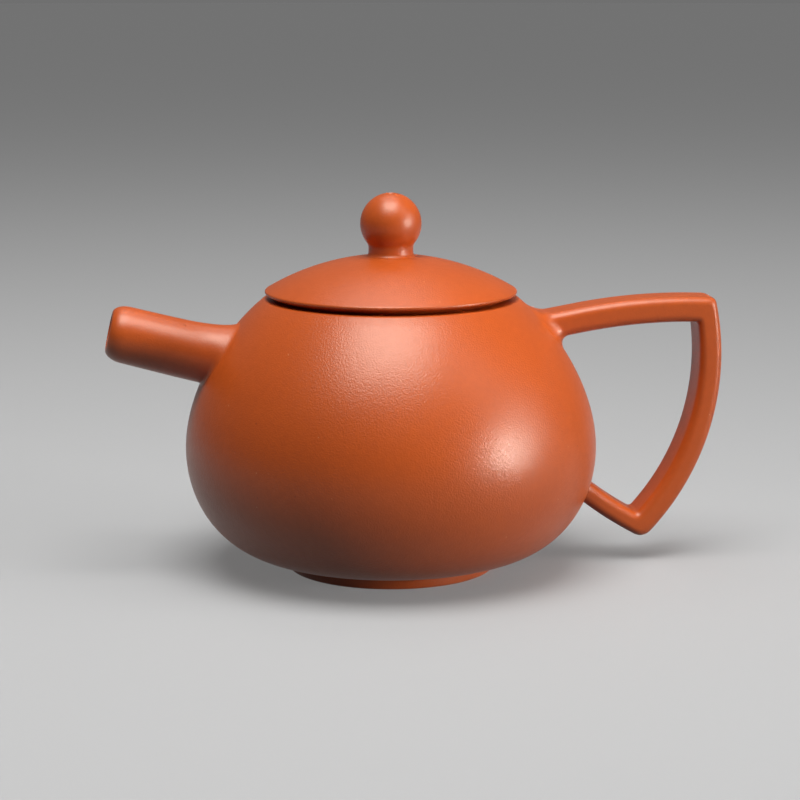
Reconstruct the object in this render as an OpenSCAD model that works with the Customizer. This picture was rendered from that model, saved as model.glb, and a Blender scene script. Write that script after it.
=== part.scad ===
// Small round teapot of unglazed red stoneware clay, built from slabs and rings joined with slip.
// Millimetres. The origin lies on the axis of the pot, on the table. The spout points to -X and
// the handle to +X.

/* [Belly] */
// Radius of the belly at its widest
belly_r = 44; // [38:0.5:54]
// Height of the widest point above the table
belly_z = 26.3; // [23:0.1:30]
// Fullness of the belly below its widest point, as a share of the way out
low_fullness = 0.6; // [0.5:0.01:0.68]
// Roundness of the belly just under its widest point, as a share of the height
low_roundness = 0.55; // [0.45:0.01:0.65]
// Length over which the wall stays upright above the widest point
upright = 10; // [6:0.5:12]
// Thickness of the clay wall
wall = 2.8; // [2.2:0.1:3.5]

/* [Mouth] */
// Outer radius of the mouth rim
rim_r = 27.2; // [24:0.1:31]
// Height of the mouth rim above the table
rim_z = 58.15; // [53:0.05:70]
// Slope of the shoulder where it meets the rim, in degrees from level
shoulder_slope = 40; // [32:1:45]
// Length over which the shoulder keeps that slope
shoulder_run = 14; // [10:0.1:17]
// Radius of the hole in the mouth ring
mouth_bore_r = 23; // [19:0.1:24.5]
// Height of the mouth ring
mouth_ring_h = 3.8; // [3:0.1:5]
// Rounding of the outer edge of the mouth ring
rim_round = 0.25; // [0.1:0.05:0.4]

/* [Foot] */
// Height of the flat underside of the base above the table
base_z = 2.9; // [2:0.1:4]
// Radius at which the flat underside turns up into the belly
base_r = 22.8; // [20:0.1:27]
// Outer radius of the foot ring
foot_r = 22.3; // [19:0.1:24]
// Width of the foot ring
foot_w = 2.9; // [2:0.1:4]
// Rounding of the two lower edges of the foot ring
foot_round = 0.5; // [0.2:0.1:0.9]

/* [Lid] */
// Radius of the lid at its edge
lid_r = 26.8; // [23:0.1:30]
// Radius of the sphere of which the lid is a cap
lid_dome_r = 52; // [40:1:80]
// Height of the top of the lid above the mouth rim
lid_rise = 9.25; // [8:0.05:12]
// Thickness of the lid
lid_t = 2.6; // [2:0.1:3.2]
// Radius of the rounded edge of the lid
lid_nose_r = 0.45; // [0.3:0.05:0.9]
// Slope of the lower side of the edge, in degrees from level
lid_undercut = 40; // [30:1:50]
// Depth of the flange that holds the lid in the mouth
flange_h = 6.6; // [4:0.1:10]
// Thickness of the flange
flange_t = 2.1; // [1.6:0.1:2.6]
// Gap between the flange and the mouth ring, all round
flange_gap = 0.3; // [0.2:0.05:0.5]

/* [Knob] */
// Radius of the ball of the knob
knob_r = 6.5; // [5.5:0.05:8]
// Height of the centre of the ball above the top of the lid
knob_lift = 6.7; // [5.5:0.05:9]
// Radius of the neck under the ball
neck_r = 4.75; // [3.5:0.05:5]
// Fillet between the ball and the neck
neck_top_fillet = 1.8; // [0.8:0.1:2.2]
// Fillet between the neck and the lid
neck_low_fillet = 1; // [0.4:0.1:1.4]
// Radius of the vent hole through the knob and the lid
vent_r = 0.8; // [0.6:0.1:1.2]

/* [Spout] */
// Height at which the centre line of the spout leaves the belly
spout_z = 46.3; // [42:0.1:49]
// Rise of the spout, in degrees from level
spout_rise = 14.9; // [5:0.1:25]
// Length of the spout along its centre line, from the belly to the lip
spout_len = 23; // [18:0.1:34]
// Outer radius of the spout at the lip
spout_tip_r = 6; // [5:0.05:7]
// Outer radius of the spout at the root, before it flares
spout_root_r = 6.15; // [5.8:0.05:8]
// Lean of the cut at the lip away from a square cut, in degrees
lip_lean = 2.5; // [0:0.5:12]
// Depth, across the spout, of the rounding at the lip
lip_round = 2.3; // [1:0.1:2.4]
// Length, along the spout, of the rounding at the lip
lip_run = 3.6; // [1:0.1:6]
// Radius of the bore at the lip
spout_bore_r = 3.65; // [2.5:0.05:4]
// Length of the straight part of the bore
spout_bore_len = 12; // [8:0.5:15]
// Radius of the passage through the belly wall
passage_r = 4.6; // [3.8:0.1:5.2]
// Width on the belly of the flare at the top of the root
flare_top = 2.2; // [1:0.1:4]
// Length along the spout of the flare at the top of the root
flare_run = 12; // [2:0.5:14]
// Width and length of the flare at the underside of the root
flare_low = 0.8; // [0.4:0.1:2]

/* [Strainer] */
// Outer radius of the ball strainer
strainer_r = 8; // [7:0.1:8.5]
// Thickness of the ball strainer
strainer_t = 1.5; // [1.2:0.1:1.6]
// Depth to which its rim is let into the wall
strainer_seat = 1.3; // [0.8:0.1:1.6]
// Radius of one hole of the strainer
strainer_hole_r = 0.6; // [0.4:0.05:0.7]
// Distance between the rings of holes
strainer_pitch = 1.8; // [1.6:0.05:1.85]
// Number of rings of holes around the one in the middle
strainer_rings = 3; // [1:1:3]

/* [Handle] */
// Distance of the upper corner of the handle beyond the belly
handle_corner_out = 25.9; // [20:0.1:32]
// Depth of the upper corner of the handle below the mouth rim
handle_corner_drop = 0.6; // [0:0.05:4]
// Distance of the lower corner of the handle beyond the belly
handle_tip_out = 10.95; // [7:0.05:14]
// Height of the lower corner of the handle above the table
handle_tip_z = 4.75; // [3.5:0.05:9]
// Height at which the top of the upper arm meets the belly
upper_root_z = 54; // [50:0.1:55.5]
// Height at which the underside of the lower arm meets the belly
lower_root_z = 13.75; // [11:0.05:20]
// Radius of the curve along the top of the upper arm
upper_arm_r = 125; // [80:1:300]
// Radius of the curve along the back of the handle
back_arm_r = 55; // [45:1:90]
// Radius of the curve along the underside of the lower arm
lower_arm_r = 81; // [60:1:200]
// Thickness of the upper arm
upper_arm_t = 5.45; // [4.5:0.05:7.5]
// Thickness of the back at the upper corner
back_top_t = 4.8; // [4:0.1:6.5]
// Thickness of the back at the lower corner
back_low_t = 5.15; // [4.5:0.05:7]
// Thickness of the lower arm
lower_arm_t = 4.3; // [3.8:0.05:6.5]
// Width of the handle across
handle_w = 10; // [7:0.1:12]
// Rounding of the edges of the handle
handle_edge = 1.8; // [0.8:0.1:2.3]
// Length of arm that the soft upper corner takes up
corner_soft = 1.2; // [0.8:0.1:3]
// Length of arm that the soft lower corner takes up
tip_soft = 2.4; // [1:0.1:3]
// Length of arm that each of the two inner corners takes up
inner_soft = 0.9; // [0.4:0.1:1.5]
// Fillet between the upper arm and the belly
upper_fillet = 3; // [1:0.1:3.5]
// Fillet between the lower arm and the belly
lower_fillet = 1; // [0.5:0.1:2]

/* [Hidden] */

clay = "#b4532a";
slip = 0.05;           // film of slip between a luted piece and the belly
curve_steps = 16;      // steps along each half of the belly outline
base_joint = 6;        // step of the lower half at which the base disc ends
shoulder_joint = 11;   // step of the upper half at which the shoulder disc starts
mouth_joint = 15;      // step of the upper half at which the mouth ring starts
search_steps = 24;     // halvings when a point is looked for on the belly
search_far = 26;       // length of such a search
root_steps = 4;        // steps across the fillet at a root
edge_steps = 6;        // steps round one edge of the handle
corner_steps = 5;      // steps round one corner of the handle
spout_points = 40;     // points around one section of the spout
lip_steps = 7;         // steps round the lip of the spout
round_fn = 96;         // facets of a round preview

lid_top_z = rim_z + lid_rise;
dome_c = [0, lid_top_z - lid_dome_r];
knob_c = [0, lid_top_z + knob_lift];
flange_r = mouth_bore_r - flange_gap;

// ---- curves ------------------------------------------------------------------------------

function unit(v) = v / norm(v);

// A quarter-like curve given by its ends and two handles, and its direction
function bezier(p, t) =
    pow(1 - t, 3) * p[0] + 3 * pow(1 - t, 2) * t * p[1] + 3 * (1 - t) * t * t * p[2]
    + pow(t, 3) * p[3];

function bezier_run(p, t) =
    unit(pow(1 - t, 2) * (p[1] - p[0]) + 2 * (1 - t) * t * (p[2] - p[1]) + t * t * (p[3] - p[2]));

// The angle that a length takes up on a circle
function turn(length, r) = length / r * 180 / PI;

function on_circle(c, r, a) = c + r * [cos(a), sin(a)];

function arc(c, r, a0, a1, n) = [for (i = [0:n]) on_circle(c, r, a0 + (a1 - a0) * i / n)];

function angle_of(v) = atan2(v[1], v[0]);

// Centre of the circle of radius r through a and b, on the right of the way from a to b
function centre(a, b, r) =
    let (half = (b - a) / 2, way = unit(half))
    a + half + sqrt(r * r - half * half) * [way[1], -way[0]];

// Where two circles meet, on the right of the way from c0 to c1
function meet(c0, r0, c1, r1) =
    let (d = norm(c1 - c0), way = (c1 - c0) / d, along = (r0 * r0 - r1 * r1 + d * d) / (2 * d))
    c0 + along * way + sqrt(r0 * r0 - along * along) * [way[1], -way[0]];

// Points of a soft corner at k on the way from p to q, without either
function soft_corner(p, k, q, n) =
    [for (i = [1:n - 1]) let (t = i / n) pow(1 - t, 2) * p + 2 * (1 - t) * t * k + t * t * q];

// ---- outline of the belly ----------------------------------------------------------------

low_curve = [
    [base_r, base_z],
    [base_r + low_fullness * (belly_r - base_r), base_z],
    [belly_r, belly_z - low_roundness * (belly_z - base_z)],
    [belly_r, belly_z]];

high_curve = [
    [belly_r, belly_z],
    [belly_r, belly_z + upright],
    [rim_r, rim_z] + shoulder_run * [cos(shoulder_slope), -sin(shoulder_slope)],
    [rim_r, rim_z]];

// Point of the wall at one step of a curve and at a depth under the outer face
function wall_point(curve, i, depth) =
    let (t = i / curve_steps, run = bezier_run(curve, t))
    bezier(curve, t) - depth * [run[1], -run[0]];

function wall_line(curve, i0, i1, depth) =
    [for (i = [i0:sign(i1 - i0):i1]) wall_point(curve, i, depth)];

function whole_line(depth) = concat(
    wall_line(low_curve, 0, curve_steps, depth),
    wall_line(high_curve, 1, curve_steps, depth));

// Radius of the belly against height, outside and inside
outside = [for (p = whole_line(0)) [p[1], p[0]]];
inside = [for (p = whole_line(wall)) [p[1], p[0]]];

// Point of the outline at a height
function on_belly(z) = [lookup(z, outside), z];

// Distance from p along a ray to a face of the belly; p is outside it
function reach(p, ray, face, near = 0, far = search_far, n = search_steps) =
    let (mid = (near + far) / 2, q = p + mid * ray)
    n == 0 ? mid
    : norm([q[0], q[1]]) > lookup(q[2], face) ? reach(p, ray, face, mid, far, n - 1)
    : reach(p, ray, face, near, mid, n - 1);

// ---- lofted pieces luted to the belly ------------------------------------------------------

// Skin through rings of equally many points, closed at each end on a middle point
module loft(rings, first_mid, last_mid) {
    n = len(rings[0]);
    last = (len(rings) - 1) * n;
    mid = last + n;
    sides = [for (j = [0:n:last - n], i = [0:n - 1])
        let (a = j + i, b = j + (i + 1) % n)
        each [[a, a + n, b + n], [a, b + n, b]]];
    caps = [for (i = [0:n - 1])
        let (k = (i + 1) % n)
        each [[mid, i, k], [mid + 1, last + k, last + i]]];
    polyhedron([for (r = rings) each r, first_mid, last_mid], concat(sides, caps));
}

// A section is a list of [point, outward direction, width of the fillet on the belly, length of
// the fillet along the piece]. The point where p lands on the belly along a ray, and how far
// short of it the piece stops.
function landed(p, ray, short) = p + (reach(p, ray, outside) - slip - short) * ray;

// Rings from the middle of the joint, out across it and up its fillet
function root_rings(section, mid, ray) = concat(
    [for (share = [0.35, 0.7])
        [for (s = section) landed(mid + share * (s[0] + s[2] * s[1] - mid), ray, 0)]],
    [for (i = [root_steps:-1:0]) let (a = 90 * i / root_steps)
        [for (s = section)
            landed(s[0] + s[2] * (1 - cos(a)) * s[1], ray, s[3] * (1 - sin(a)))]]);

function points_of(section) = [for (s = section) s[0]];

function reversed(v) = [for (i = [len(v) - 1:-1:0]) v[i]];

// ---- body of the pot -----------------------------------------------------------------------

module turned(profile) rotate_extrude($fn = round_fn) polygon(profile);

module base_disc() color(clay)
    turned(concat(
        [[0, base_z]],
        wall_line(low_curve, 0, base_joint, 0),
        wall_line(low_curve, base_joint, 0, wall),
        [[0, base_z + wall]]));

// The way through the wall to the spout, and the recess in its inner face for the strainer
module spout_passage() {
    spout_frame() cylinder(r = passage_r, h = 6 * wall, center = true, $fn = round_fn);
    strainer_frame() translate([0, 0, -2 * wall])
        cylinder(r = strainer_r + slip, h = 2 * wall + strainer_seat, $fn = round_fn);
}

module belly_wall() color(clay) difference() {
    turned(concat(
        wall_line(low_curve, base_joint, curve_steps, 0),
        wall_line(high_curve, 1, shoulder_joint, 0),
        wall_line(high_curve, shoulder_joint, 1, wall),
        wall_line(low_curve, curve_steps, base_joint, wall)));
    spout_passage();
}

module shoulder_disc() color(clay) difference() {
    turned(concat(
        wall_line(high_curve, shoulder_joint, mouth_joint, 0),
        wall_line(high_curve, mouth_joint, shoulder_joint, wall)));
    spout_passage();
}

module mouth_ring() color(clay) {
    edge = [rim_r, rim_z];
    level = edge - [rim_round, 0];
    sloping = edge + rim_round * [cos(shoulder_slope), -sin(shoulder_slope)];
    turned(concat(
        [[mouth_bore_r, rim_z], level],
        soft_corner(level, edge, sloping, 4),
        [sloping, wall_point(high_curve, mouth_joint, 0), wall_point(high_curve, mouth_joint, wall)],
        [[mouth_bore_r, rim_z - mouth_ring_h]]));
}

module foot_ring() color(clay)
    turned(concat(
        [[foot_r - foot_w, base_z], [foot_r, base_z]],
        arc([foot_r - foot_round, foot_round], foot_round, 0, -90, 4),
        arc([foot_r - foot_w + foot_round, foot_round], foot_round, -90, -180, 4)));

// ---- spout and strainer --------------------------------------------------------------------

spout_root = on_belly(spout_z);
spout_way = [-cos(spout_rise), 0, sin(spout_rise)];
spout_up = [sin(spout_rise), 0, cos(spout_rise)];
spout_start = [-spout_root[0], 0, spout_z];

// Z along the spout, from the point where its centre line leaves the belly
module spout_frame() translate(spout_start) rotate([0, spout_rise - 90, 0]) children();

// Section at a distance along the spout, cut at a lean
function spout_section(along, r, lean) =
    [for (i = [0:spout_points - 1])
        let (a = 360 * i / spout_points, way = cos(a) * [0, -1, 0] + sin(a) * spout_up,
             high = pow((1 + sin(a)) / 2, 3))
        [spout_start + (along + r * sin(a) * tan(lean)) * spout_way + r * way, way,
         flare_low + (flare_top - flare_low) * high, flare_low + (flare_run - flare_low) * high]];

module spout() color(clay) difference() {
    clear = spout_root_r + flare_low + 1;
    outer = spout_section(2 * clear, spout_root_r, 0);
    lip = [for (i = [0:lip_steps]) let (a = 90 * i / lip_steps)
        points_of(spout_section(
            spout_len - lip_run * (1 - sin(a)), spout_tip_r - lip_round * (1 - cos(a)), lip_lean))];
    loft(
        concat(
            root_rings(outer, spout_start + 2 * clear * spout_way, -spout_way),
            [points_of(spout_section(clear, spout_root_r, 0))],
            lip),
        landed(spout_start + 2 * clear * spout_way, -spout_way, 0),
        spout_start + spout_len * spout_way);
    spout_frame() {
        translate([0, 0, spout_len - spout_bore_len])
            cylinder(r = spout_bore_r, h = 2 * spout_bore_len, $fn = round_fn);
        cylinder(r1 = passage_r, r2 = spout_bore_r, h = spout_len - spout_bore_len, $fn = round_fn);
        translate([0, 0, -2 * wall]) cylinder(r = passage_r, h = 2 * wall, $fn = round_fn);
    }
}

// The strainer stands square on the inner face, where the centre line of the spout meets it
strainer_start = spout_start - reach(spout_start, -spout_way, inside) * spout_way;
strainer_lean = atan2(lookup(strainer_start[2] - 1, inside)
                      - lookup(strainer_start[2] + 1, inside), 2);

// Z out through the wall, from the inner face
module strainer_frame() translate(strainer_start) rotate([0, strainer_lean - 90, 0]) children();

// Half ball whose rim is let into the inner face, over the passage to the spout
module ball_strainer() color(clay) strainer_frame() difference() {
    turned(concat(
        arc([0, 0], strainer_r, -90, 0, 8),
        [[strainer_r, strainer_seat], [strainer_r - strainer_t, strainer_seat]],
        arc([0, 0], strainer_r - strainer_t, 0, -90, 8)));
    for (ring = [0:strainer_rings], i = [1:max(1, 6 * ring)])
        rotate(360 * i / max(1, 6 * ring)) translate([ring * strainer_pitch, 0, -2 * strainer_r])
            cylinder(r = strainer_hole_r, h = 2 * strainer_r, $fn = 24);
}

// ---- handle --------------------------------------------------------------------------------

// Three arms on three curves: the upper arm, the back and the lower arm. The outer line runs
// along their outside and the inner line along their inside, each from the shoulder out to the
// upper corner, down to the lower corner and back in to the belly.
outer_corners = [
    [belly_r + handle_corner_out, rim_z - handle_corner_drop],
    [belly_r + handle_tip_out, handle_tip_z]];

upper_c = centre(on_belly(upper_root_z), outer_corners[0], upper_arm_r);
back_c = centre(outer_corners[0], outer_corners[1], back_arm_r);
lower_c = centre(outer_corners[1], on_belly(lower_root_z), lower_arm_r);

upper_in_r = upper_arm_r - upper_arm_t;
lower_in_r = lower_arm_r - lower_arm_t;
back_in_r = back_arm_r - (back_top_t + back_low_t) / 2;
inner_corners = [
    meet(upper_c, upper_in_r, back_c, back_arm_r - back_top_t),
    meet(back_c, back_arm_r - back_low_t, lower_c, lower_in_r)];
back_in_c = centre(inner_corners[0], inner_corners[1], back_in_r);

// Angle at which a curve comes out of the belly
function way_out(c, r, a_in, a_out, n = search_steps) =
    let (mid = (a_in + a_out) / 2, p = on_circle(c, r, mid))
    n == 0 ? mid
    : p[0] > lookup(p[1], outside) ? way_out(c, r, a_in, mid, n - 1)
    : way_out(c, r, mid, a_out, n - 1);

upper_start = way_out(upper_c, upper_in_r, angle_of(on_belly(upper_root_z) - upper_c) + 10,
                      angle_of(inner_corners[0] - upper_c))
    - turn(2 * upper_fillet, upper_in_r);
lower_end = way_out(lower_c, lower_in_r, angle_of(on_belly(lower_root_z) - lower_c) - 12,
                    angle_of(inner_corners[1] - lower_c))
    + turn(2 * lower_fillet, lower_in_r);

// One line along the handle; soft is the length of arm that each corner takes up
function line_along(corners, upper_r, back_c, back_r, lower_r, soft) =
    let (upper = arc(upper_c, upper_r, upper_start,
                     angle_of(corners[0] - upper_c) + turn(soft[0], upper_r), 12),
         back = arc(back_c, back_r, angle_of(corners[0] - back_c) - turn(soft[0], back_r),
                    angle_of(corners[1] - back_c) + turn(soft[1], back_r), 20),
         lower = arc(lower_c, lower_r, angle_of(corners[1] - lower_c) - turn(soft[1], lower_r),
                     lower_end, 8))
    concat(upper, soft_corner(upper[12], corners[0], back[0], corner_steps),
           back, soft_corner(back[20], corners[1], lower[0], corner_steps), lower);

outer_line = line_along(outer_corners, upper_arm_r, back_c, back_arm_r, lower_arm_r,
                        [corner_soft, tip_soft]);
inner_line = line_along(inner_corners, upper_in_r, back_in_c, back_in_r, lower_in_r,
                        [inner_soft, inner_soft]);

// Section between a point of the outer line and its twin on the inner line
function handle_section(o, i, fillet) =
    let (mid = (o + i) / 2, out = unit(o - i),
         half_t = norm(o - i) / 2 - handle_edge, half_w = handle_w / 2 - handle_edge)
    [for (q = [0:3], k = [0:edge_steps])
        let (a = 90 * (q + k / edge_steps), y = q == 0 || q == 3 ? half_w : -half_w,
             u = (q < 2 ? half_t : -half_t) + handle_edge * sin(a))
        [[mid[0] + u * out[0], y + handle_edge * cos(a), mid[1] + u * out[1]],
         [sin(a) * out[0], cos(a), sin(a) * out[1]], fillet, fillet]];

function in_space(p) = [p[0], 0, p[1]];

module handle() color(clay) {
    last = len(outer_line) - 1;
    middles = [for (i = [0, last]) in_space((outer_line[i] + inner_line[i]) / 2)];
    outs = [for (i = [0, last]) unit(outer_line[i] - inner_line[i])];
    rays = [[-outs[0][1], 0, outs[0][0]], [outs[1][1], 0, -outs[1][0]]];
    upper_root = root_rings(handle_section(outer_line[0], inner_line[0], upper_fillet),
                            middles[0], rays[0]);
    lower_root = root_rings(handle_section(outer_line[last], inner_line[last], lower_fillet),
                            middles[1], rays[1]);
    loft(
        concat(
            upper_root,
            [for (i = [0:last]) points_of(handle_section(outer_line[i], inner_line[i], 0))],
            reversed(lower_root)),
        landed(middles[0], rays[0], 0),
        landed(middles[1], rays[1], 0));
}

// ---- lid and knob --------------------------------------------------------------------------

module vent() cylinder(r = vent_r, h = 2 * knob_c[1], $fn = round_fn);

module lid_dome() color(clay) {
    nose_x = lid_r - lid_nose_r;
    nose_c = [nose_x, dome_c[1] + sqrt(pow(lid_dome_r - lid_nose_r, 2) - nose_x * nose_x)];
    nose_end = on_circle(nose_c, lid_nose_r, lid_undercut - 90);
    seat = [nose_end[0] - (nose_end[1] - rim_z) / tan(lid_undercut), rim_z];
    under_r = lid_dome_r - lid_t;
    under_x = flange_r - flange_t;
    difference() {
        turned(concat(
            arc(dome_c, lid_dome_r, 90, angle_of(nose_c - dome_c), 18),
            arc(nose_c, lid_nose_r, angle_of(nose_c - dome_c), lid_undercut - 90, 8),
            [seat, [under_x, rim_z]],
            arc(dome_c, under_r, acos(under_x / under_r), 90, 14)));
        vent();
    }
}

module lid_flange() color(clay) {
    low = rim_z - flange_h;
    soft = flange_t / 3;
    turned(concat(
        [[flange_r - flange_t, rim_z], [flange_r, rim_z]],
        arc([flange_r - soft, low + soft], soft, 0, -90, 4),
        arc([flange_r - flange_t + soft, low + soft], soft, -90, -180, 4)));
}

module knob() color(clay) {
    low_c = [neck_r + neck_low_fillet, dome_c[1]
        + sqrt(pow(lid_dome_r + neck_low_fillet, 2) - pow(neck_r + neck_low_fillet, 2))];
    top_c = [neck_r + neck_top_fillet, knob_c[1]
        - sqrt(pow(knob_r + neck_top_fillet, 2) - pow(neck_r + neck_top_fillet, 2))];
    difference() {
        turned(concat(
            arc(dome_c, lid_dome_r, 90, angle_of(low_c - dome_c), 3),
            arc(low_c, neck_low_fillet, angle_of(low_c - dome_c) + 180, 180, 5),
            arc(top_c, neck_top_fillet, 180, angle_of(knob_c - top_c), 5),
            arc(knob_c, knob_r, angle_of(top_c - knob_c), 90, 32)));
        vent();
    }
}

base_disc();
belly_wall();
shoulder_disc();
mouth_ring();
foot_ring();
spout();
ball_strainer();
handle();
lid_dome();
lid_flange();
knob();
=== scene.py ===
import math

import bpy
from mathutils import Matrix, Vector
from mathutils.geometry import interpolate_bezier


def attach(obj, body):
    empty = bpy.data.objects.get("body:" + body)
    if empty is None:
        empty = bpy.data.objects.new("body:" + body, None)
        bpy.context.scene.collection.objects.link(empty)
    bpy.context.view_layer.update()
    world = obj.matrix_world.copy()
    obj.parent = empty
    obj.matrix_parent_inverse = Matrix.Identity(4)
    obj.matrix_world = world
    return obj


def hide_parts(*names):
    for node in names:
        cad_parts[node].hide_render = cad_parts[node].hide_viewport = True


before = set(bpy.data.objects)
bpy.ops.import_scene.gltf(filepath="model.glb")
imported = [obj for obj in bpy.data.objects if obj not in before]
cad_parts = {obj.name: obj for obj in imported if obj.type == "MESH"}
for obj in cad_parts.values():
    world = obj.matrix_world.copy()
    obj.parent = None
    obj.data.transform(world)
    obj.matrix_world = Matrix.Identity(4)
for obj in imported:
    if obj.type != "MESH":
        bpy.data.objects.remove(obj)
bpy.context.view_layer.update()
scene = bpy.context.scene

# ---- Base disc ---------------------------------------------------------------------------
# The disc that closes the belly at the bottom. Its rim follows the belly's own outline,
# because the disc was beaten to shape together with the wall once the two were luted.

MM = 0.001
ROUND = 192  # steps once round the pot
wall = 2.8
belly_r, belly_z = 44.0, 26.3
base_r, base_z = 22.8, 2.9
rim_r, rim_z = 27.2, 58.15
low_fullness, low_roundness = 0.6, 0.55
upright, shoulder_run, shoulder_slope = 10.0, 14.0, math.radians(40)
LINE_STEPS = 64  # steps along each half of the outline
base_joint, shoulder_joint, mouth_joint = 24, LINE_STEPS + 44, LINE_STEPS + 60


def belly_outline():
    """The outer line of the belly from the foot to the mouth, as points (radius, height)."""
    low = interpolate_bezier(
        Vector((base_r, base_z)),
        Vector((base_r + low_fullness * (belly_r - base_r), base_z)),
        Vector((belly_r, belly_z - low_roundness * (belly_z - base_z))),
        Vector((belly_r, belly_z)),
        LINE_STEPS + 1,
    )
    high = interpolate_bezier(
        Vector((belly_r, belly_z)),
        Vector((belly_r, belly_z + upright)),
        Vector((rim_r + shoulder_run * math.cos(shoulder_slope),
                rim_z - shoulder_run * math.sin(shoulder_slope))),
        Vector((rim_r, rim_z)),
        LINE_STEPS + 1,
    )
    return [Vector(p[:2]) for p in low + high[1:]]


def inset(line, depth):
    """A line at a depth under another, measured square to it."""
    made = []
    for i, point in enumerate(line):
        run = line[min(i + 1, len(line) - 1)] - line[max(i - 1, 0)]
        made.append(point - depth * Vector((run.y, -run.x)).normalized())
    return made


def edit(piece):
    """Edit mode on one piece, with all of it selected."""
    bpy.ops.object.select_all(action="DESELECT")
    bpy.context.view_layer.objects.active = piece
    piece.select_set(True)
    bpy.ops.object.mode_set(mode="EDIT")
    bpy.ops.mesh.select_all(action="SELECT")


def smoothed(piece, angle=30):
    """Merges doubles, points the faces outwards and shades smooth, but for the real edges."""
    edit(piece)
    bpy.ops.mesh.remove_doubles(threshold=1e-7)
    bpy.ops.mesh.delete_loose()
    bpy.ops.mesh.select_all(action="SELECT")
    bpy.ops.mesh.normals_make_consistent(inside=False)
    bpy.ops.object.mode_set(mode="OBJECT")
    bpy.ops.object.shade_smooth_by_angle(angle=math.radians(angle))
    return piece


def turned(name, outline, steps=ROUND):
    """A closed outline of (radius, height) points in millimetres, spun round the pot's axis."""
    bpy.ops.object.select_all(action="DESELECT")
    bpy.ops.mesh.primitive_circle_add(vertices=len(outline), radius=1)
    piece = bpy.context.object
    piece.name = piece.data.name = name
    for vertex, (radius, height) in zip(piece.data.vertices, outline):
        vertex.co = (MM * radius, 0, MM * height)
    edit(piece)
    bpy.ops.mesh.spin(steps=steps, angle=math.tau, center=(0, 0, 0), axis=(0, 0, 1))
    bpy.ops.object.mode_set(mode="OBJECT")
    return smoothed(piece)


class Wire:
    """A socket of a material's node tree. Arithmetic on it adds Math nodes."""

    def __init__(self, tree, socket):
        self.tree, self.socket = tree, socket

    def node(self, kind, settings=None, output=0, **inputs):
        """A node of any kind: its settings first, then the values or links of its sockets."""
        made = self.tree.nodes.new(kind)
        for key, value in (settings or {}).items():
            if key == "stops":
                for stop, (place, colour) in zip(made.color_ramp.elements, value):
                    stop.position, stop.color = place, colour
            else:
                setattr(made, key, value)
        for key, value in inputs.items():
            socket = made.inputs[int(key[1:])] if key[1:].isdigit() else made.inputs[key]
            if isinstance(value, Wire):
                self.tree.links.new(value.socket, socket)
            else:
                socket.default_value = value
        return Wire(self.tree, made.outputs[output])

    def maths(self, operation, a, b=0.0):
        return self.node("ShaderNodeMath", {"operation": operation}, _0=a, _1=b)

    def __add__(self, other):
        return self.maths("ADD", self, other)

    def __sub__(self, other):
        return self.maths("SUBTRACT", self, other)

    def __rsub__(self, other):
        return self.maths("SUBTRACT", other, self)

    def __mul__(self, other):
        return self.maths("MULTIPLY", self, other)

    def __lt__(self, other):
        return self.maths("LESS_THAN", self, other)

    def __gt__(self, other):
        return self.maths("GREATER_THAN", self, other)

    __radd__ = __add__
    __rmul__ = __mul__

    def mix(self, a, b):
        """Colour a where this is 0 and b where it is 1."""
        settings = {"data_type": "RGBA"}
        return self.node("ShaderNodeMix", settings, 2, _0=self, _6=a, _7=b)


def linear(red, green, blue):
    """A colour given in 0 to 255 as the shader's own linear values."""
    return [((c / 255 + 0.055) / 1.055) ** 2.4 for c in (red, green, blue)] + [1.0]


CLOUDS, MOTTLES, SANDS, SPECKS = 50.0, 750.0, 2800.0, 420.0  # how many lie in a metre
MOTTLE_DEPTH, MOTTLE_START = 0.4, 0.1
PALE_R, PALE_SHARE, PALE_DEPTH = 0.07, 0.1, 0.4  # speck against its cell, cells with one, tone
DARK_R, DARK_SHARE, DARK_DEPTH = 0.09, 0.07, 0.55
GRAIN_RISE, MOTTLE_RISE = 0.00016, 0.1  # in metres, and as a share of the sand's
CLOUD_DULL, MOTTLE_DULL, DULL_MIDDLE = 0.06, 0.1, 0.08  # how they change the roughness


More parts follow.
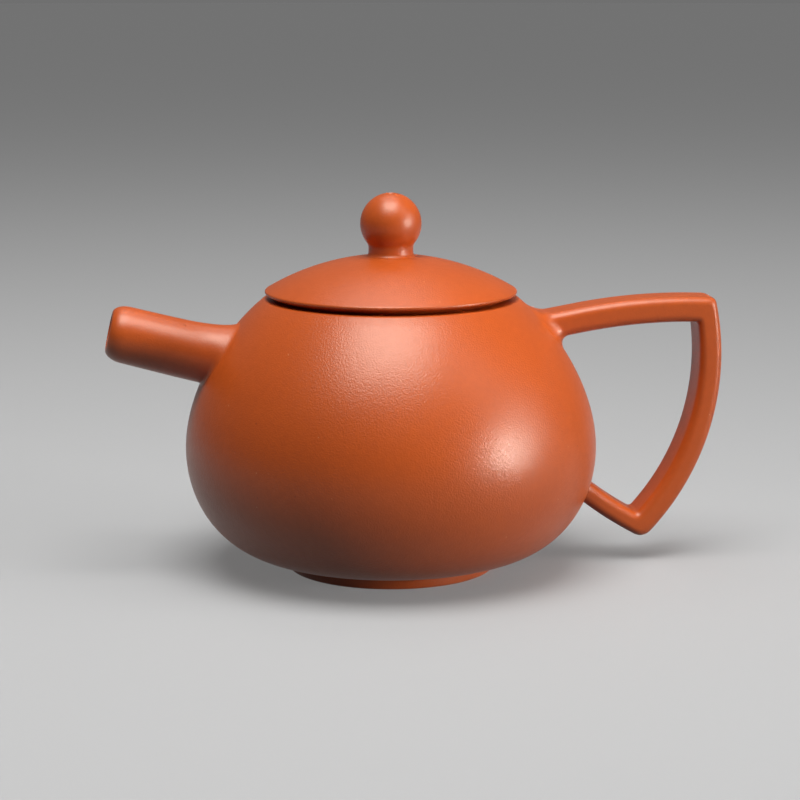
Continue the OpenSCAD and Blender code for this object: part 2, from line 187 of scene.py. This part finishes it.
def fired_clay(name, tint, rough, grain):
    """Unglazed red clay: a close grain of fine sand under a rubbed skin, with a few specks."""
    material = bpy.data.materials.new(name)
    material.use_nodes = True
    tree = material.node_tree
    shader = tree.nodes["Principled BSDF"]
    light, deep, pit, fleck = tint
    shader.inputs["Specular IOR Level"].default_value = 0.6
    shader.inputs["Specular Tint"].default_value = linear(255, 248, 236)
    place = Wire(tree, tree.nodes.new("ShaderNodeTexCoord").outputs["Object"])
    cloud = place.node("ShaderNodeTexNoise", {}, 0, Vector=place, Scale=CLOUDS, Detail=3.0)
    mottle = place.node("ShaderNodeTexNoise", {}, 0, Vector=place, Scale=MOTTLES, Detail=4.0)
    sand = place.node("ShaderNodeTexNoise", {}, 0, Vector=place, Scale=SANDS, Detail=1.5)
    cell = {"feature": "F1"}
    spot = place.node("ShaderNodeTexVoronoi", cell, "Distance", Vector=place, Scale=SPECKS)
    which = place.node("ShaderNodeTexVoronoi", cell, "Color", Vector=place, Scale=SPECKS)
    lot = place.node("ShaderNodeSeparateColor", {}, 0, Color=which)
    pale = (spot < PALE_R) * (lot > 1 - PALE_SHARE)
    dark = (spot < DARK_R) * (lot < DARK_SHARE)
    tone = cloud.mix(linear(*deep), linear(*light))
    tone = (mottle * MOTTLE_DEPTH - MOTTLE_START).mix(tone, linear(*pit))
    tone = (pale * PALE_DEPTH).mix(tone, linear(*fleck))
    tone = (dark * DARK_DEPTH).mix(tone, linear(*pit))
    relief = sand + mottle * MOTTLE_RISE
    bump = place.node("ShaderNodeBump", {}, 0,
                      Strength=grain, Distance=GRAIN_RISE, Height=relief)
    tree.links.new(tone.socket, shader.inputs["Base Color"])
    dull = cloud * CLOUD_DULL + (mottle * MOTTLE_DULL + (rough - DULL_MIDDLE))
    tree.links.new(dull.socket, shader.inputs["Roughness"])
    tree.links.new(bump.socket, shader.inputs["Normal"])
    return material


RED_CLAY = ((188, 82, 26), (176, 74, 21), (140, 52, 14), (218, 150, 108))
rubbed_clay = fired_clay("rubbed_clay", RED_CLAY, rough=0.35, grain=0.36)


def finished(piece, material, body, *nodes):
    """Gives a piece its clay, and lets it stand for its nodes and move with its body."""
    piece.data.materials.append(material)
    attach(piece, body)
    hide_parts(*nodes)


outer_line = belly_outline()
inner_line = inset(outer_line, wall)


def stretch(first, last):
    """The closed outline of the clay between two places on the belly's outline."""
    return outer_line[first:last + 1] + inner_line[first:last + 1][::-1]


base_disc = turned(
    "base_disc_clay",
    [(0, base_z)] + stretch(0, base_joint) + [(0, base_z + wall)])
finished(base_disc, rubbed_clay, "pot", "base_disc")

# ---- Belly wall --------------------------------------------------------------------------
# The strip of clay that was beaten round into the belly. It is pierced where the spout
# stands, and a shallow seat round that hole on the inside holds the ball strainer.

spout_z, spout_rise = 46.3, math.radians(14.9)
passage_r = 4.6
strainer_r, strainer_t, strainer_seat = 8.0, 1.5, 1.3
slip = 0.05


def radius_at(height, line):
    """The radius of a line of the belly at a height."""
    for low, high in zip(line, line[1:]):
        if low.y <= height <= high.y:
            return low.x + (high.x - low.x) * (height - low.y) / (high.y - low.y)
    return line[0].x if height < line[0].y else line[-1].x


HALVINGS = 24


def landing(point, ray, line=outer_line, far=26.0):
    """Where a ray from outside the belly meets a line of it, by halving."""
    near = 0.0
    for _ in range(HALVINGS):
        middle = (near + far) / 2
        at = point + middle * ray
        if math.hypot(at.x, at.y) > radius_at(at.z, line):
            near = middle
        else:
            far = middle
    return point + near * ray


spout_way = Vector((-math.cos(spout_rise), 0, math.sin(spout_rise)))
spout_up = Vector((math.sin(spout_rise), 0, math.cos(spout_rise)))
spout_start = Vector((-radius_at(spout_z, outer_line), 0, spout_z))
strainer_start = landing(spout_start, -spout_way, inner_line)
wall_lean = math.atan2(
    radius_at(strainer_start.z - 1, inner_line) - radius_at(strainer_start.z + 1, inner_line), 2)


def rod(radius, start, way, length, sides=64):
    """A cylinder from a point along a direction, in millimetres."""
    bpy.ops.object.select_all(action="DESELECT")
    bpy.ops.mesh.primitive_cylinder_add(
        vertices=sides, radius=MM * radius, depth=MM * length,
        location=MM * (start + way * length / 2),
        rotation=way.to_track_quat("Z", "Y").to_euler())
    return bpy.context.object


def cut(piece, tools):
    """Takes tools away from a piece."""
    for tool in tools:
        modifier = piece.modifiers.new("cut", "BOOLEAN")
        modifier.operation, modifier.object, modifier.solver = "DIFFERENCE", tool, "EXACT"
        bpy.ops.object.select_all(action="DESELECT")
        bpy.context.view_layer.objects.active = piece
        piece.select_set(True)
        bpy.ops.object.modifier_apply(modifier=modifier.name)
    return piece


inward = Vector((math.cos(wall_lean), 0, -math.sin(wall_lean)))
passage = rod(passage_r, spout_start - 3 * wall * spout_way, spout_way, 6 * wall)
seat = rod(strainer_r + slip, strainer_start - strainer_seat * inward, inward, 2 * wall)

belly_wall = cut(turned("belly_wall_clay", stretch(base_joint, shoulder_joint)), [passage, seat])
finished(smoothed(belly_wall), rubbed_clay, "pot", "belly_wall")

# ---- Shoulder disc -----------------------------------------------------------------------
# The disc luted on top of the wall, which draws the belly in to the mouth. The hole for the
# spout and the strainer's seat reach up into it.

shoulder_disc = cut(turned("shoulder_disc_clay", stretch(shoulder_joint, mouth_joint)),
                    [passage, seat])
finished(smoothed(shoulder_disc), rubbed_clay, "pot", "shoulder_disc")
for tool in (passage, seat):
    bpy.data.objects.remove(tool)

# ---- Mouth ring --------------------------------------------------------------------------
# The thick ring round the mouth. The lid rests on its flat top, so its edges are crisp.

mouth_bore_r, mouth_ring_h, rim_round = 23.0, 3.8, 0.3


def rounded(before, corner, after, radius, count=5):
    """A corner of an outline, rounded over a radius on each side of it."""
    before, corner, after = Vector(before), Vector(corner), Vector(after)
    p = corner + radius * (before - corner).normalized()
    q = corner + radius * (after - corner).normalized()
    return interpolate_bezier(p, p.lerp(corner, 0.6), q.lerp(corner, 0.6), q, count)


rim_edge = Vector((rim_r, rim_z))
joint_outer, joint_inner = outer_line[mouth_joint], inner_line[mouth_joint]
ring_low, ring_top = (mouth_bore_r, rim_z - mouth_ring_h), (mouth_bore_r, rim_z)
mouth_ring = turned(
    "mouth_ring_clay",
    [Vector(p[:2]) for p in
     [joint_outer, *rounded(joint_outer, rim_edge, ring_top, rim_round),
      *rounded(rim_edge, ring_top, ring_low, rim_round),
      *rounded(ring_top, ring_low, joint_inner, 2 * rim_round), joint_inner]])
finished(mouth_ring, rubbed_clay, "pot", "mouth_ring")

# ---- Foot ring ---------------------------------------------------------------------------
# The low ring that the pot stands on, luted under the base and wiped round at its edges.

foot_r, foot_w, foot_round = 22.3, 2.9, 0.5
foot_in = foot_r - foot_w
WIPED_STEPS = 6  # steps round a small wiped edge


def on_circle(centre, radius, degrees):
    """The point of a circle in the plane of the outline at an angle."""
    turn = math.radians(degrees)
    return Vector((centre[0] + radius * math.cos(turn), centre[1] + radius * math.sin(turn)))


def arc(centre, radius, first, last, count):
    """Points on a circle in the plane of the outline, between two angles in degrees."""
    return [on_circle(centre, radius, first + (last - first) * i / count)
            for i in range(count + 1)]


foot_ring = turned(
    "foot_ring_clay",
    [(foot_in, base_z), (foot_r, base_z)]
    + arc((foot_r - foot_round, foot_round), foot_round, 0, -90, WIPED_STEPS)
    + arc((foot_in + foot_round, foot_round), foot_round, -90, -180, WIPED_STEPS))
finished(foot_ring, rubbed_clay, "pot", "foot_ring")

# ---- Ball strainer -----------------------------------------------------------------------
# A half ball of thin clay with parallel holes pushed through it, let into the wall behind
# the spout so that the leaves stay in the pot.

hole_r, hole_pitch, hole_rings = 0.6, 1.8, 3
ball_in = strainer_r - strainer_t
HALF_BALL_STEPS = 20
ball_strainer = turned(
    "ball_strainer_clay",
    arc((0, 0), strainer_r, -90, 0, HALF_BALL_STEPS)
    + [(strainer_r, strainer_seat), (ball_in, strainer_seat)]
    + arc((0, 0), ball_in, 0, -90, HALF_BALL_STEPS),
    steps=64)
drills = []
for ring in range(hole_rings + 1):
    for i in range(max(1, 6 * ring)):
        turn = math.tau * i / max(1, 6 * ring)
        start = ring * hole_pitch * Vector((math.cos(turn), math.sin(turn), 0))
        drills.append(rod(hole_r, start, Vector((0, 0, -1)), 2 * strainer_r, sides=16))
bpy.ops.object.select_all(action="DESELECT")
for drill in drills:
    drill.select_set(True)
bpy.context.view_layer.objects.active = drills[0]
bpy.ops.object.join()
cut(ball_strainer, [drills[0]])
bpy.data.objects.remove(drills[0])
ball_strainer.data.transform(
    Matrix.Translation(MM * strainer_start)
    @ Matrix.Rotation(wall_lean - math.pi / 2, 4, "Y"))
bare_clay = fired_clay("bare_clay", RED_CLAY, rough=0.55, grain=0.6)
finished(smoothed(ball_strainer), bare_clay, "pot", "ball_strainer")

# ---- Spout -------------------------------------------------------------------------------
# A straight tube rolled round a dowel, a little narrower at its lip. It is luted over the
# hole, and the joint is drawn out with a wooden tool: wide along its top, close underneath.

spout_len = 23.0
spout_tip_r, spout_root_r = 6.0, 6.15
spout_bore_r, spout_bore_len = 3.65, 12.0
lip_lean = math.radians(2.5)
lip_round, lip_run, lip_in_round = 2.0, 3.6, 0.35
flare_top, flare_run, flare_low = 2.2, 12.0, 0.8
sunk = 0.03  # how far a flare's edge goes under the skin of the belly
AROUND = 96  # points round one ring of the spout
FLARE_STEPS, BARREL_STEPS, LIP_STEPS, LIP_IN_STEPS = 10, 8, 12, 5


def ring_round(along, radius, lean=0.0):
    """A ring of the spout at a distance along it: points with their directions outwards."""
    made = []
    for i in range(AROUND):
        turn = math.tau * i / AROUND
        out = math.cos(turn) * Vector((0, -1, 0)) + math.sin(turn) * spout_up
        way = (along + radius * math.sin(turn) * math.tan(lean)) * spout_way
        made.append((spout_start + way + radius * out, out))
    return made


def flare(ring, ray, sizes):
    """Rings that spread a ring out over the belly, from just under its skin up to the ring
    itself. A size is the flare's width on the belly and its length along the piece."""
    made = []
    for step in range(FLARE_STEPS, -1, -1):
        turn = math.pi / 2 * step / FLARE_STEPS
        out, short = 1 - math.cos(turn), 1 - math.sin(turn)
        made.append([landing(point + width * out * way, ray) - (length * short - sunk) * ray
                     for (point, way), (width, length) in zip(ring, sizes)])
    return made


def rolled(name, rings, closed):
    """A grid rolled into a tube, with one row of its points to each ring."""
    bpy.ops.object.select_all(action="DESELECT")
    rows = rings + [rings[0]] if closed else rings
    bpy.ops.mesh.primitive_grid_add(x_subdivisions=len(rings[0]), y_subdivisions=len(rows) - 1)
    piece = bpy.context.object
    piece.name = piece.data.name = name
    places = [point for ring in rows for point in [*ring, ring[0]]]
    for vertex, point in zip(piece.data.vertices, places):
        vertex.co = MM * point
    piece.matrix_world = Matrix.Identity(4)
    edit(piece)
    bpy.ops.mesh.remove_doubles(threshold=1e-7)
    if not closed:
        bpy.ops.mesh.select_all(action="DESELECT")
        bpy.ops.mesh.select_non_manifold()
        bpy.ops.mesh.edge_face_add()
    bpy.ops.object.mode_set(mode="OBJECT")
    return smoothed(piece, angle=40)


def points(ring):
    return [point for point, _ in ring]


clear = spout_root_r + flare_low + 1
outer_root = ring_round(2 * clear, spout_root_r)
high = [((1 + math.sin(math.tau * i / AROUND)) / 2) ** 3 for i in range(AROUND)]
spread = [(flare_low + (flare_top - flare_low) * h, flare_low + (flare_run - flare_low) * h)
          for h in high]
lip_out = [(spout_len - lip_run * (1 - math.sin(a)), spout_tip_r - lip_round * (1 - math.cos(a)))
           for a in (math.pi / 2 * i / LIP_STEPS for i in range(LIP_STEPS + 1))]
lip_in = [(spout_len - lip_in_round * (1 - math.cos(a)),
           spout_bore_r + lip_in_round * (1 - math.sin(a)))
          for a in (math.pi / 2 * i / LIP_IN_STEPS for i in range(LIP_IN_STEPS + 1))]
barrel = [(clear + (spout_len - lip_run - clear) * i / BARREL_STEPS,
           spout_root_r + (spout_tip_r - spout_root_r) * i / BARREL_STEPS)
          for i in range(BARREL_STEPS)]
inner_root = ring_round(2 * clear, passage_r)
spout_rings = (
    flare(outer_root, -spout_way, spread)
    + [points(ring_round(along, radius)) for along, radius in barrel]
    + [points(ring_round(along, radius, lip_lean)) for along, radius in lip_out + lip_in]
    + [points(ring_round(spout_len - spout_bore_len, spout_bore_r)),
       points(ring_round(0.5 * wall, passage_r)),
       [landing(point, -spout_way) - sunk * spout_way for point in points(inner_root)]])
spout = rolled("spout_clay", spout_rings, closed=True)
smooth_clay = fired_clay("smooth_clay", RED_CLAY, rough=0.36, grain=0.17)
finished(spout, smooth_clay, "pot", "spout")

# ---- Handle ------------------------------------------------------------------------------
# One coil of clay squared between two boards, bent into three arms with an upper and a lower
# corner, and luted on at the shoulder and low on the belly. Its edges are softened by hand.

upper_corner = Vector((belly_r + 25.9, rim_z - 0.6))
lower_corner = Vector((belly_r + 10.95, 4.75))
upper_root_z, lower_root_z = 54.0, 13.75
upper_arm_r, back_arm_r, lower_arm_r = 125.0, 55.0, 81.0
upper_arm_t, back_top_t, back_low_t, lower_arm_t = 5.45, 4.8, 5.15, 4.3
handle_w, handle_edge = 10.0, 1.8
corner_soft, tip_soft, inner_soft = 1.2, 2.4, 0.9
upper_flare, lower_flare = 3.0, 1.0
upper_deep, lower_deep = 10, 12  # degrees along each arm from its root back into the belly
UPPER_STEPS, BACK_STEPS, LOWER_STEPS, CORNER_STEPS = 24, 40, 16, 10


def centre_of(a, b, radius):
    """The centre of the circle through two points, on the right of the way between them."""
    half = (b - a) / 2
    way = half.normalized()
    return a + half + math.sqrt(radius ** 2 - half.length_squared) * Vector((way.y, -way.x))


def meeting(c0, r0, c1, r1):
    """Where two circles meet, on the right of the way from c0 to c1."""
    span = (c1 - c0).length
    way = (c1 - c0) / span
    along = (r0 ** 2 - r1 ** 2 + span ** 2) / (2 * span)
    return c0 + along * way + math.sqrt(r0 ** 2 - along ** 2) * Vector((way.y, -way.x))


def bearing(centre, point):
    return math.degrees(math.atan2(point.y - centre.y, point.x - centre.x))


def sweep(length, radius):
    return math.degrees(length / radius)


def on_belly(height):
    return Vector((radius_at(height, outer_line), height))


upper_c = centre_of(on_belly(upper_root_z), upper_corner, upper_arm_r)
back_c = centre_of(upper_corner, lower_corner, back_arm_r)
lower_c = centre_of(lower_corner, on_belly(lower_root_z), lower_arm_r)
upper_in_r, lower_in_r = upper_arm_r - upper_arm_t, lower_arm_r - lower_arm_t
inner_corners = [
    meeting(upper_c, upper_in_r, back_c, back_arm_r - back_top_t),
    meeting(back_c, back_arm_r - back_low_t, lower_c, lower_in_r)]
back_in_r = back_arm_r - (back_top_t + back_low_t) / 2
back_in_c = centre_of(*inner_corners, back_in_r)


def leaving(centre, radius, first, last):
    """The bearing at which a curve comes out of the belly, by halving."""
    for _ in range(HALVINGS):
        middle = (first + last) / 2
        at = on_circle(centre, radius, middle)
        if at.x > radius_at(at.y, outer_line):
            last = middle
        else:
            first = middle
    return (first + last) / 2


upper_start = leaving(upper_c, upper_in_r, bearing(upper_c, on_belly(upper_root_z)) + upper_deep,
                      bearing(upper_c, inner_corners[0])) - sweep(2 * upper_flare, upper_in_r)
lower_end = leaving(lower_c, lower_in_r, bearing(lower_c, on_belly(lower_root_z)) - lower_deep,
                    bearing(lower_c, inner_corners[1])) + sweep(2 * lower_flare, lower_in_r)


def soft(p, corner, q):
    """Points of a soft corner on the way from p to q, without either."""
    return [((1 - t) ** 2) * p + 2 * (1 - t) * t * corner + t * t * q
            for t in (i / CORNER_STEPS for i in range(1, CORNER_STEPS))]


def arm_line(corners, upper_r, back_c, back_r, lower_r, softness):
    """One line along the whole handle, on its outside or its inside."""
    upper = arc(upper_c, upper_r, upper_start,
                bearing(upper_c, corners[0]) + sweep(softness[0], upper_r), UPPER_STEPS)
    back = arc(back_c, back_r, bearing(back_c, corners[0]) - sweep(softness[0], back_r),
               bearing(back_c, corners[1]) + sweep(softness[1], back_r), BACK_STEPS)
    lower = arc(lower_c, lower_r, bearing(lower_c, corners[1]) - sweep(softness[1], lower_r),
                lower_end, LOWER_STEPS)
    return (upper + soft(upper[-1], corners[0], back[0])
            + back + soft(back[-1], corners[1], lower[0]) + lower)


handle_out = arm_line([upper_corner, lower_corner], upper_arm_r, back_c, back_arm_r,
                      lower_arm_r, (corner_soft, tip_soft))
handle_in = arm_line(inner_corners, upper_in_r, back_in_c, back_in_r,
                     lower_in_r, (inner_soft, inner_soft))
EDGE_STEPS = 8
FLAT_STEPS = 4  # steps across each flat of the section


def squared(outer, inner):
    """The squared section between a point of the outer line and its twin on the inner one."""
    middle, out = (outer + inner) / 2, (outer - inner).normalized()
    half_t = (outer - inner).length / 2 - handle_edge
    half_w = handle_w / 2 - handle_edge
    made = []
    for quarter, (across, up) in enumerate(((1, 1), (-1, 1), (-1, -1), (1, -1))):
        for step in range(EDGE_STEPS + 1):
            turn = math.pi / 2 * (quarter + step / EDGE_STEPS)
            y = across * half_w + handle_edge * math.cos(turn)
            u = up * half_t + handle_edge * math.sin(turn)
            made.append((Vector((middle.x + u * out.x, y, middle.y + u * out.y)),
                         Vector((math.sin(turn) * out.x, math.cos(turn), math.sin(turn) * out.y))))
        (p, way), (nx, ny) = made[-1], ((-1, 1), (-1, -1), (1, -1), (1, 1))[quarter]
        u = ny * half_t + (handle_edge * math.sin(math.pi / 2 * (quarter + 1)))
        y = nx * half_w + (handle_edge * math.cos(math.pi / 2 * (quarter + 1)))
        q = Vector((middle.x + u * out.x, y, middle.y + u * out.y))
        for step in range(1, FLAT_STEPS):
            made.append((p.lerp(q, step / FLAT_STEPS), way))
    return made


sections = [squared(o, i) for o, i in zip(handle_out, handle_in)]
out_first = (handle_out[0] - handle_in[0]).normalized()
out_last = (handle_out[-1] - handle_in[-1]).normalized()
ray_first = Vector((-out_first.y, 0, out_first.x))
ray_last = Vector((out_last.y, 0, -out_last.x))
upper_root = flare(sections[0], ray_first, [(upper_flare, upper_flare)] * len(sections[0]))
lower_root = flare(sections[-1], ray_last, [(lower_flare, lower_flare)] * len(sections[0]))
handle = rolled("handle_clay",
                upper_root + [points(s) for s in sections[1:-1]] + lower_root[::-1],
                closed=False)
finished(handle, smooth_clay, "pot", "handle")

# ---- Lid ---------------------------------------------------------------------------------
# A domed disc with a fine rounded edge. Its underside slopes in to the seat, so that a thin
# dark line parts the edge from the mouth ring. The vent runs down its axis.

lid_r, lid_dome_r, lid_rise, lid_t = 26.8, 52.0, 9.25, 2.6
nose_r, undercut = 0.45, 24.0
flange_h, flange_t, flange_gap = 6.6, 2.1, 0.3
vent_r = 0.8
lid_top_z = rim_z + lid_rise
dome_c = Vector((0, lid_top_z - lid_dome_r))
flange_r = mouth_bore_r - flange_gap
flange_in = flange_r - flange_t
nose_x = lid_r - nose_r
nose_c = Vector((nose_x, dome_c.y + math.sqrt((lid_dome_r - nose_r) ** 2 - nose_x ** 2)))
nose_end = on_circle(nose_c, nose_r, undercut - 90)
lid_seat = Vector((nose_end.x - (nose_end.y - rim_z) / math.tan(math.radians(undercut)), rim_z))
under_r = lid_dome_r - lid_t
DOME_STEPS, UNDER_STEPS, NOSE_STEPS = 60, 40, 12


def from_axis(radius, reach):
    """The bearing, on a circle about the axis, of the point at a reach from the axis."""
    return math.degrees(math.acos(reach / radius))


lid_dome = turned(
    "lid_dome_clay",
    arc(dome_c, lid_dome_r, from_axis(lid_dome_r, vent_r), bearing(dome_c, nose_c), DOME_STEPS)
    + arc(nose_c, nose_r, bearing(dome_c, nose_c), undercut - 90, NOSE_STEPS)[1:]
    + [lid_seat, Vector((flange_in, rim_z))]
    + arc(dome_c, under_r, from_axis(under_r, flange_in), from_axis(under_r, vent_r),
          UNDER_STEPS))
finished(lid_dome, rubbed_clay, "lid", "lid_dome")

# ---- Lid flange --------------------------------------------------------------------------
# The ring under the lid that drops into the mouth and keeps the lid on while tea is poured.

flange_low, flange_soft = rim_z - flange_h, flange_t / 3
lid_flange = turned(
    "lid_flange_clay",
    [(flange_in, rim_z), (flange_r, rim_z)]
    + arc((flange_r - flange_soft, flange_low + flange_soft), flange_soft,
          0, -90, WIPED_STEPS)
    + arc((flange_in + flange_soft, flange_low + flange_soft), flange_soft,
          -90, -180, WIPED_STEPS))
finished(lid_flange, bare_clay, "lid", "lid_flange")

# ---- Knob --------------------------------------------------------------------------------
# A ball on a short neck, turned on its own and luted to the top of the lid. The vent comes
# out at its top.

knob_r, knob_lift, neck_r = 6.5, 6.7, 4.75
neck_top_fillet, neck_low_fillet, vent_soft = 1.8, 1.0, 0.3
BALL_STEPS, FILLET_STEPS, HIDDEN_STEPS = 60, 8, 4
knob_c = Vector((0, lid_top_z + knob_lift))
low_reach, top_reach = neck_r + neck_low_fillet, neck_r + neck_top_fillet
low_c = Vector((low_reach,
                dome_c.y + math.sqrt((lid_dome_r + neck_low_fillet) ** 2 - low_reach ** 2)))
top_c = Vector((top_reach,
                knob_c.y - math.sqrt((knob_r + neck_top_fillet) ** 2 - top_reach ** 2)))
vent_top = on_circle(knob_c, knob_r, from_axis(knob_r, vent_r + vent_soft))
knob = turned(
    "knob_clay",
    arc(dome_c, lid_dome_r, from_axis(lid_dome_r, vent_r), bearing(dome_c, low_c), HIDDEN_STEPS)
    + arc(low_c, neck_low_fillet, bearing(dome_c, low_c) + 180, 180, FILLET_STEPS)[1:]
    + arc(top_c, neck_top_fillet, 180, bearing(top_c, knob_c), FILLET_STEPS)
    + arc(knob_c, knob_r, bearing(knob_c, top_c), from_axis(knob_r, vent_r + vent_soft),
          BALL_STEPS)[1:]
    + [Vector((vent_r, vent_top.y - vent_soft))],
    steps=128)
finished(knob, smooth_clay, "lid", "knob")

# ---- Floor -------------------------------------------------------------------------------
# A plain pale studio floor that runs out to the pale background. To the eye, and in a gloss,
# it is paler than to the light that it throws back, so the pot keeps its depth of colour.

FLOOR_R = 6.0
FLOOR_PALE, FLOOR_DEEP, FLOOR_GLOW = 0.3, 0.035, 0.15
BACKDROP, FILL = 0.16, 0.03
bpy.ops.object.select_all(action="DESELECT")
bpy.ops.mesh.primitive_circle_add(vertices=96, radius=FLOOR_R, fill_type="NGON")
floor = bpy.context.object
floor.name = "floor"


def seen(tree):
    """1 for what the camera sees, by itself, in a gloss or through glass, and 0 for the rest."""
    rays = [Wire(tree, tree.nodes.new("ShaderNodeLightPath").outputs[kind])
            for kind in ("Is Camera Ray", "Is Glossy Ray", "Is Transmission Ray")]
    return sum(rays[1:], rays[0])


floor_paint = bpy.data.materials.new("floor_paint")
floor_paint.use_nodes = True
floor_tree = floor_paint.node_tree
floor_shader = floor_tree.nodes["Principled BSDF"]
shown = seen(floor_tree)
floor_tone = shown.mix([FLOOR_DEEP] * 3 + [1], [FLOOR_PALE] * 3 + [1])
floor_tree.links.new(floor_tone.socket, floor_shader.inputs["Base Color"])
floor_shader.inputs["Roughness"].default_value = 0.8
floor_shader.inputs["Specular IOR Level"].default_value = 0.1
floor_shader.inputs["Emission Color"].default_value = (1, 1, 1, 1)
floor_tree.links.new((shown * FLOOR_GLOW).socket, floor_shader.inputs["Emission Strength"])
floor.data.materials.append(floor_paint)

# ---- Light -------------------------------------------------------------------------------
# One wide lamp above the front, a smaller one above the back, three at the right, and a weak
# even fill. The low ones have a narrow spread, so that they don't flood the floor near them.


LAMP_OFF = 0.75
LAMP_AIM = Vector((0, 0, 0.045))


def lamp(name, bearing_deg, height_deg, size, power, spread_deg=180):
    """A square soft lamp aimed at the pot, by its bearing from the front and its height."""
    data = bpy.data.lights.new(name, "AREA")
    data.shape, data.size, data.energy = "SQUARE", size, power
    data.spread = math.radians(spread_deg)
    turn, lift = math.radians(bearing_deg), math.radians(height_deg)
    way = Vector((math.cos(lift) * math.sin(turn), -math.cos(lift) * math.cos(turn),
                  math.sin(lift)))
    made = bpy.data.objects.new(name, data)
    made.location = LAMP_AIM + LAMP_OFF * way
    made.rotation_euler = (-way).to_track_quat("-Z", "Y").to_euler()
    scene.collection.objects.link(made)


lamp("overhead_lamp", -12, 73, 0.54, 8.3)
lamp("right_lamp", 58, 5.5, 0.14, 0.14, 36)
lamp("side_lamp", 73, 15, 0.38, 0.11, 36)
lamp("high_right_lamp", 60, 45, 0.3, 0.5)
lamp("back_lamp", 180, 68, 0.4, 0.9)

world = bpy.data.worlds.new("pale_room")
world.use_nodes = True
background = world.node_tree.nodes["Background"]
background.inputs["Color"].default_value = (1, 1, 1, 1)
world.node_tree.links.new((seen(world.node_tree) * (BACKDROP - FILL) + FILL).socket,
                          background.inputs["Strength"])
scene.world = world

# ---- Camera ------------------------------------------------------------------------------
# A long lens a little above the rim, half a metre off, a few degrees round from square.

camera_data = bpy.data.cameras.new("camera")
camera_data.sensor_width, camera_data.lens = 36, 107.75
camera = bpy.data.objects.new("camera", camera_data)
CAMERA_TURN, CAMERA_YAW, CAMERA_PITCH = math.radians(7), math.radians(0.22), math.radians(10.57)
CAMERA_OFF, CAMERA_HEIGHT = 0.505, 0.1303
camera.location = (-CAMERA_OFF * math.sin(CAMERA_TURN), -CAMERA_OFF * math.cos(CAMERA_TURN),
                   CAMERA_HEIGHT)
camera.rotation_euler = (math.pi / 2 - CAMERA_PITCH, 0, -(CAMERA_TURN + CAMERA_YAW))
scene.collection.objects.link(camera)
scene.camera = camera
scene.view_settings.view_transform = "Standard"
